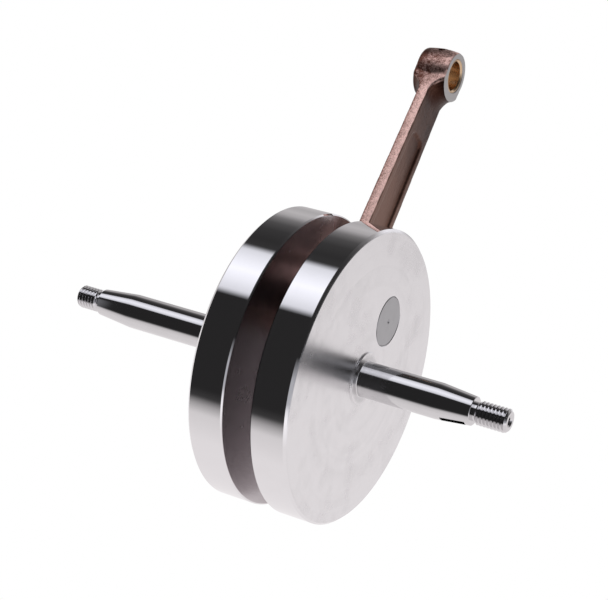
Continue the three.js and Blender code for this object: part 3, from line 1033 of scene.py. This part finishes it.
class CRANKSHAFT_OT_bearing(bpy.types.Operator):
    """Makes the big-end cage, its needles and the two thrust washers"""
    bl_idname = "crankshaft.bearing"
    bl_label = "Big-End Bearing"

    def execute(self, context):
        sizes = context.scene.bearing_sizes
        self.cage(sizes)
        self.needles()
        for side, name in ((-1, "left"), (1, "right")):
            self.washer(sizes, side, name)
        return {"FINISHED"}

    def cage(self, sizes):
        """A ring with a pocket for each needle, the pockets spun round from one."""
        half, edge = CAGE_HIGH.x, 0.15 * MM
        inner, outer = PIN_RADIUS + sizes.cage_gap, ROD_BORE - sizes.cage_gap
        right = [(half, inner), (half, outer - edge), (half - edge, outer)]
        ring = lathe("needle_cage", ring_of(right), RING_SIDES, ring=True)
        needle_half = NEEDLE_HIGH.x + sizes.pocket_play
        pocket = NEEDLE_RADIUS + sizes.pocket_play
        bpy.ops.object.select_all(action="DESELECT")
        bpy.ops.mesh.primitive_cube_add(
            size=2, location=(0, 0, NEEDLE_PITCH), scale=(needle_half, pocket, NEEDLE_RADIUS * 2),
        )
        cutter = new_piece("pockets")
        edit(cutter)
        bpy.ops.mesh.bevel(offset=0.25 * MM, segments=3)
        bpy.ops.mesh.select_all(action="SELECT")
        count = len(NEEDLES)
        bpy.ops.mesh.spin(
            steps=count - 1, dupli=True, angle=math.tau * (count - 1) / count,
            center=(0, 0, 0), axis=(1, 0, 0), use_auto_merge=False,
        )
        close_edit()
        combine(ring, cutter)
        ring.location = PIN_CENTRE
        settle(ring)
        finish_piece(ring, "big_end_cage", "cage_bronze")

    def needles(self):
        """One needle with rounded ends, copied to each place."""
        half, radius, round_end = NEEDLE_HIGH.x, NEEDLE_RADIUS, 0.4 * MM
        corner = [
            (half - round_end * (1 - math.sin(step * math.pi / 8)),
             radius - round_end * (1 - math.cos(step * math.pi / 8)))
            for step in range(5)
        ]
        first = lathe("needle", mirrored(corner), 48)
        for name in NEEDLES:
            make_active(first)
            bpy.ops.object.duplicate(linked=False)
            copy = bpy.context.object
            copy.name = name.replace("big_end_needle", "needle_roller")
            low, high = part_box(name)
            copy.location = (low + high) / 2
            settle(copy)
            finish_piece(copy, name, "bearing_steel")
        bpy.data.objects.remove(first)

    def washer(self, sizes, side, name):
        """A flat ring between the rod and a web."""
        half, edge = (WASHER_HIGH.x - WASHER_LOW.x) / 2, sizes.washer_edge
        inner = PIN_RADIUS + sizes.washer_bore
        outer = (WASHER_HIGH.z - WASHER_LOW.z) / 2
        right = [(half - edge, inner), (half, inner + edge), (half, outer - edge), (half - edge, outer)]
        washer = lathe(name + "_washer_ring", ring_of(right), RING_SIDES, ring=True)
        washer.location = PIN_CENTRE + Vector((side * (WASHER_HIGH.x + WASHER_LOW.x) / 2, 0, 0))
        settle(washer)
        finish_piece(washer, name + "_thrust_washer", "bearing_steel")


# ---- Stage --------------------------------------------------------------------------------------

CAMERA_PLACE = Vector((239.6, -481.7, -156.0)) * MM
CAMERA_FORWARD = Vector((-0.4431, 0.8414, 0.3090))
CAMERA_UP = Vector((-0.2386, -0.4430, 0.8641))
CAMERA_LENS = 99.71

# Brightness round the crank axis: (direction in degrees from +Y towards +Z, share of the table's
# brightness). The softbox is apart, because it doesn't reach past the right end of the crank.
ROOM = [
    (-180, 0.020), (-120, 0.020), (-113, 0.05), (-107, 0.45), (-99, 0.84), (-75, 0.98), (10, 1.0),
    (22, 0.94), (32, 0.60), (50, 0.50), (62, 0.60), (70, 0.50), (78, 0.22), (87, 0.09), (97, 0.045),
    (110, 0.030), (120, 0.040), (140, 0.03), (165, 0.02), (180, 0.02),
]
SOFTBOX = [(119, 0.0), (124, 0.68), (133, 0.84), (143, 1.0), (152, 0.86), (161, 0.68), (165.5, 0.0)]
SOFTBOX_END = 0.48
DARK_GLOW = 0.006
TABLE_TINT = (1.0, 0.965, 0.975, 1.0)
SOFTBOX_TINT = (0.92, 0.93, 1.0, 1.0)


class CRANKSHAFT_OT_stage(bpy.types.Operator):
    """Adds the camera, the pale floor and the soft light of the studio"""
    bl_idname = "crankshaft.stage"
    bl_label = "Stage"

    def execute(self, context):
        self.camera(context)
        self.floor(context.scene.crank_studio)
        self.room(context)
        context.scene.view_settings.view_transform = "Standard"
        return {"FINISHED"}

    def camera(self, context):
        bpy.ops.object.camera_add(location=CAMERA_PLACE)
        camera = context.object
        back = -CAMERA_FORWARD.normalized()
        right = CAMERA_UP.cross(back).normalized()
        up = back.cross(right)
        camera.rotation_euler = Matrix((right, up, back)).transposed().to_euler()
        camera.data.lens = CAMERA_LENS
        camera.data.clip_start = 10 * MM
        context.scene.camera = camera

    def floor(self, studio):
        bpy.ops.object.select_all(action="DESELECT")
        bpy.ops.mesh.primitive_plane_add(size=6, location=(0, 0, -studio.floor_drop))
        floor = bpy.context.object
        floor.name = "studio_floor"
        floor.visible_glossy = False
        material, shader = new_material("pale_floor")
        cloud = shader.noise(shader.place(), 3.0, 3.0)
        base = shader.mix_colour(cloud, (0.80, 0.80, 0.80), (0.84, 0.84, 0.84))
        shader.metal(base, 0.6, metallic=0.0, glow=studio.floor_glow)
        floor.data.materials.append(material)

    def room(self, context):
        """What reflections see: a dark room, a white table behind and below, a softbox in front."""
        studio = context.scene.crank_studio
        world = bpy.data.worlds.new("studio_room")
        world.use_nodes = True
        context.scene.world = world
        shader = Shader(world.node_tree)
        direction = shader.add("ShaderNodeTexCoord", output="Generated")
        along, across, up = shader.split(direction)
        turn = along.math("ARCTAN2", up, across) / math.tau + 0.5
        room = shader.add("ShaderNodeValToRGB", {"stops": self.stops(ROOM)}, {"Fac": turn})
        softbox = shader.add("ShaderNodeValToRGB", {"stops": self.stops(SOFTBOX)}, {"Fac": turn})
        reach = along.below(SOFTBOX_END, 0.15)
        fill = studio.fill * (
            along.above(0.62, 0.2) * across.below(0.0, 0.3) * up.below(-0.22, 0.2)
            + along.above(-0.08, 0.15) * along.below(0.25, 0.15)
            * up.above(0.5, 0.4) * across.above(-0.5, 0.3)
            + along.below(-0.72, 0.12) * up.below(-0.02, 0.15) + along.above(0.96, 0.05)
        )
        table = shader.add(
            "ShaderNodeBackground", None, {"Color": TABLE_TINT, "Strength": room * studio.table},
        )
        lamp = shader.add(
            "ShaderNodeBackground", None,
            {"Color": SOFTBOX_TINT, "Strength": softbox * reach * studio.softbox + fill + DARK_GLOW},
        )
        seen = shader.add("ShaderNodeAddShader", None, {0: table, 1: lamp})
        white = shader.add("ShaderNodeBackground", None, {"Color": (1, 1, 1, 1), "Strength": 1.0})
        ray = shader.add("ShaderNodeLightPath", output="Is Camera Ray")
        mixed = shader.add("ShaderNodeMixShader", None, {"Fac": ray, 1: seen, 2: white})
        shader.add("ShaderNodeOutputWorld", None, {"Surface": mixed})

    @staticmethod
    def stops(levels):
        return [((degrees + 180) / 360, level) for degrees, level in levels]


# ---- Panel and registration ---------------------------------------------------------------------

OPERATORS = (
    CRANKSHAFT_OT_stage,
    CRANKSHAFT_OT_right_half,
    CRANKSHAFT_OT_left_half,
    CRANKSHAFT_OT_crankpin,
    CRANKSHAFT_OT_connecting_rod,
    CRANKSHAFT_OT_bush,
    CRANKSHAFT_OT_bearing,
)

SETTINGS = {
    "crank_sizes": CrankSizes,
    "rod_sizes": RodSizes,
    "bearing_sizes": BearingSizes,
    "crank_finishes": Finishes,
    "crank_studio": Studio,
}


class CRANKSHAFT_PT_panel(bpy.types.Panel):
    """Lists the steps that make the crankshaft, and the values they use"""
    bl_idname = "CRANKSHAFT_PT_panel"
    bl_label = "Crankshaft"
    bl_space_type = "VIEW_3D"
    bl_region_type = "UI"
    bl_category = "Crankshaft"

    def draw(self, context):
        steps = self.layout.column(align=True)
        for operator in OPERATORS:
            steps.operator(operator.bl_idname)
        for name, group in SETTINGS.items():
            box = self.layout.box()
            box.label(text=name.replace("_", " ").capitalize())
            for field in group.__annotations__:
                box.prop(getattr(context.scene, name), field)


def register():
    for cls in (*SETTINGS.values(), *OPERATORS, CRANKSHAFT_PT_panel):
        bpy.utils.register_class(cls)
    for name, group in SETTINGS.items():
        setattr(bpy.types.Scene, name, PointerProperty(type=group))


def unregister():
    for name in SETTINGS:
        delattr(bpy.types.Scene, name)
    for cls in reversed((*SETTINGS.values(), *OPERATORS, CRANKSHAFT_PT_panel)):
        bpy.utils.unregister_class(cls)


def main():
    register()
    bpy.ops.crankshaft.stage()
    bpy.ops.crankshaft.right_half()
    bpy.ops.crankshaft.left_half()
    bpy.ops.crankshaft.crankpin()
    bpy.ops.crankshaft.connecting_rod()
    bpy.ops.crankshaft.bush()
    bpy.ops.crankshaft.bearing()


if __name__ == "__main__":
    main()
